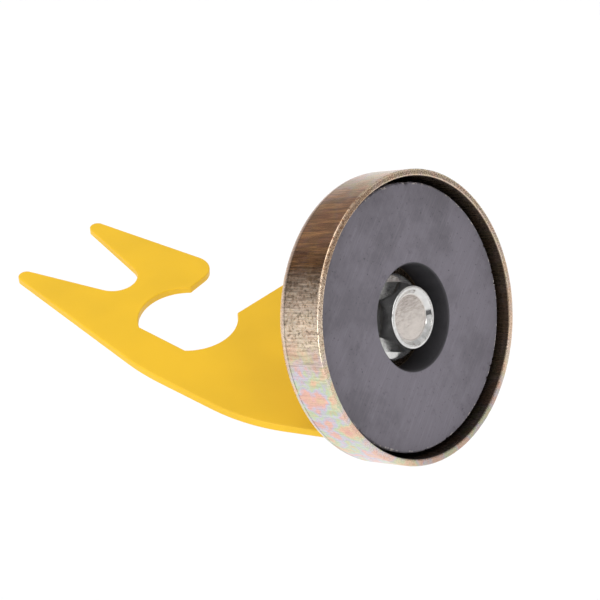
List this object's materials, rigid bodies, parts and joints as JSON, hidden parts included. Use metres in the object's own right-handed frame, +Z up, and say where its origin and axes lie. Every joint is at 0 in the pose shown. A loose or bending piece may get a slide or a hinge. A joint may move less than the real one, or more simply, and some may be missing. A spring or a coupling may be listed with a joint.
{
  "type": "magnetic forked tool rest",
  "caption": "Pot magnet with a bent, forked steel plate bolted to its back, which holds a torch or hose in a round notch or a vee fork.",
  "frame": {"origin": "centre of the magnet's working plane, on the bolt axis, level with the cup's rim", "axes": "+Y points away from the steel that the magnet grips, along the bolt; +X runs along the plate's bend; +Z is up, towards the face of the plate that the nut is on"},
  "size_m": [0.0672, 0.1074, 0.066],
  "materials": {
    "cup_steel": "yellow chromated zinc plate with fine turning marks",
    "ferrite": "ground, matt, dark grey ceramic",
    "adhesive": "cured resin",
    "zinc": "bright zinc plate",
    "spring_steel": "zinc plated spring steel",
    "yellow_paint": "smooth yellow powder coat"
  },
  "bodies": {
    "magnet": {"magnet_cup": "cup_steel", "ferrite_ring": "ferrite", "adhesive_bed": "adhesive", "front_washer": "zinc", "hex_bolt": "zinc", "rear_washer": "zinc", "lock_washer": "spring_steel", "hex_nut": "zinc"},
    "holder": {"holder_plate": "yellow_paint"}
  },
  "joints": [
    {"name": "holder_swivel", "type": "hinge", "parent": "magnet", "child": "holder", "pos_m": [0, 0.0138, 0], "axis": [0, 1, 0], "continuous": true}
  ]
}
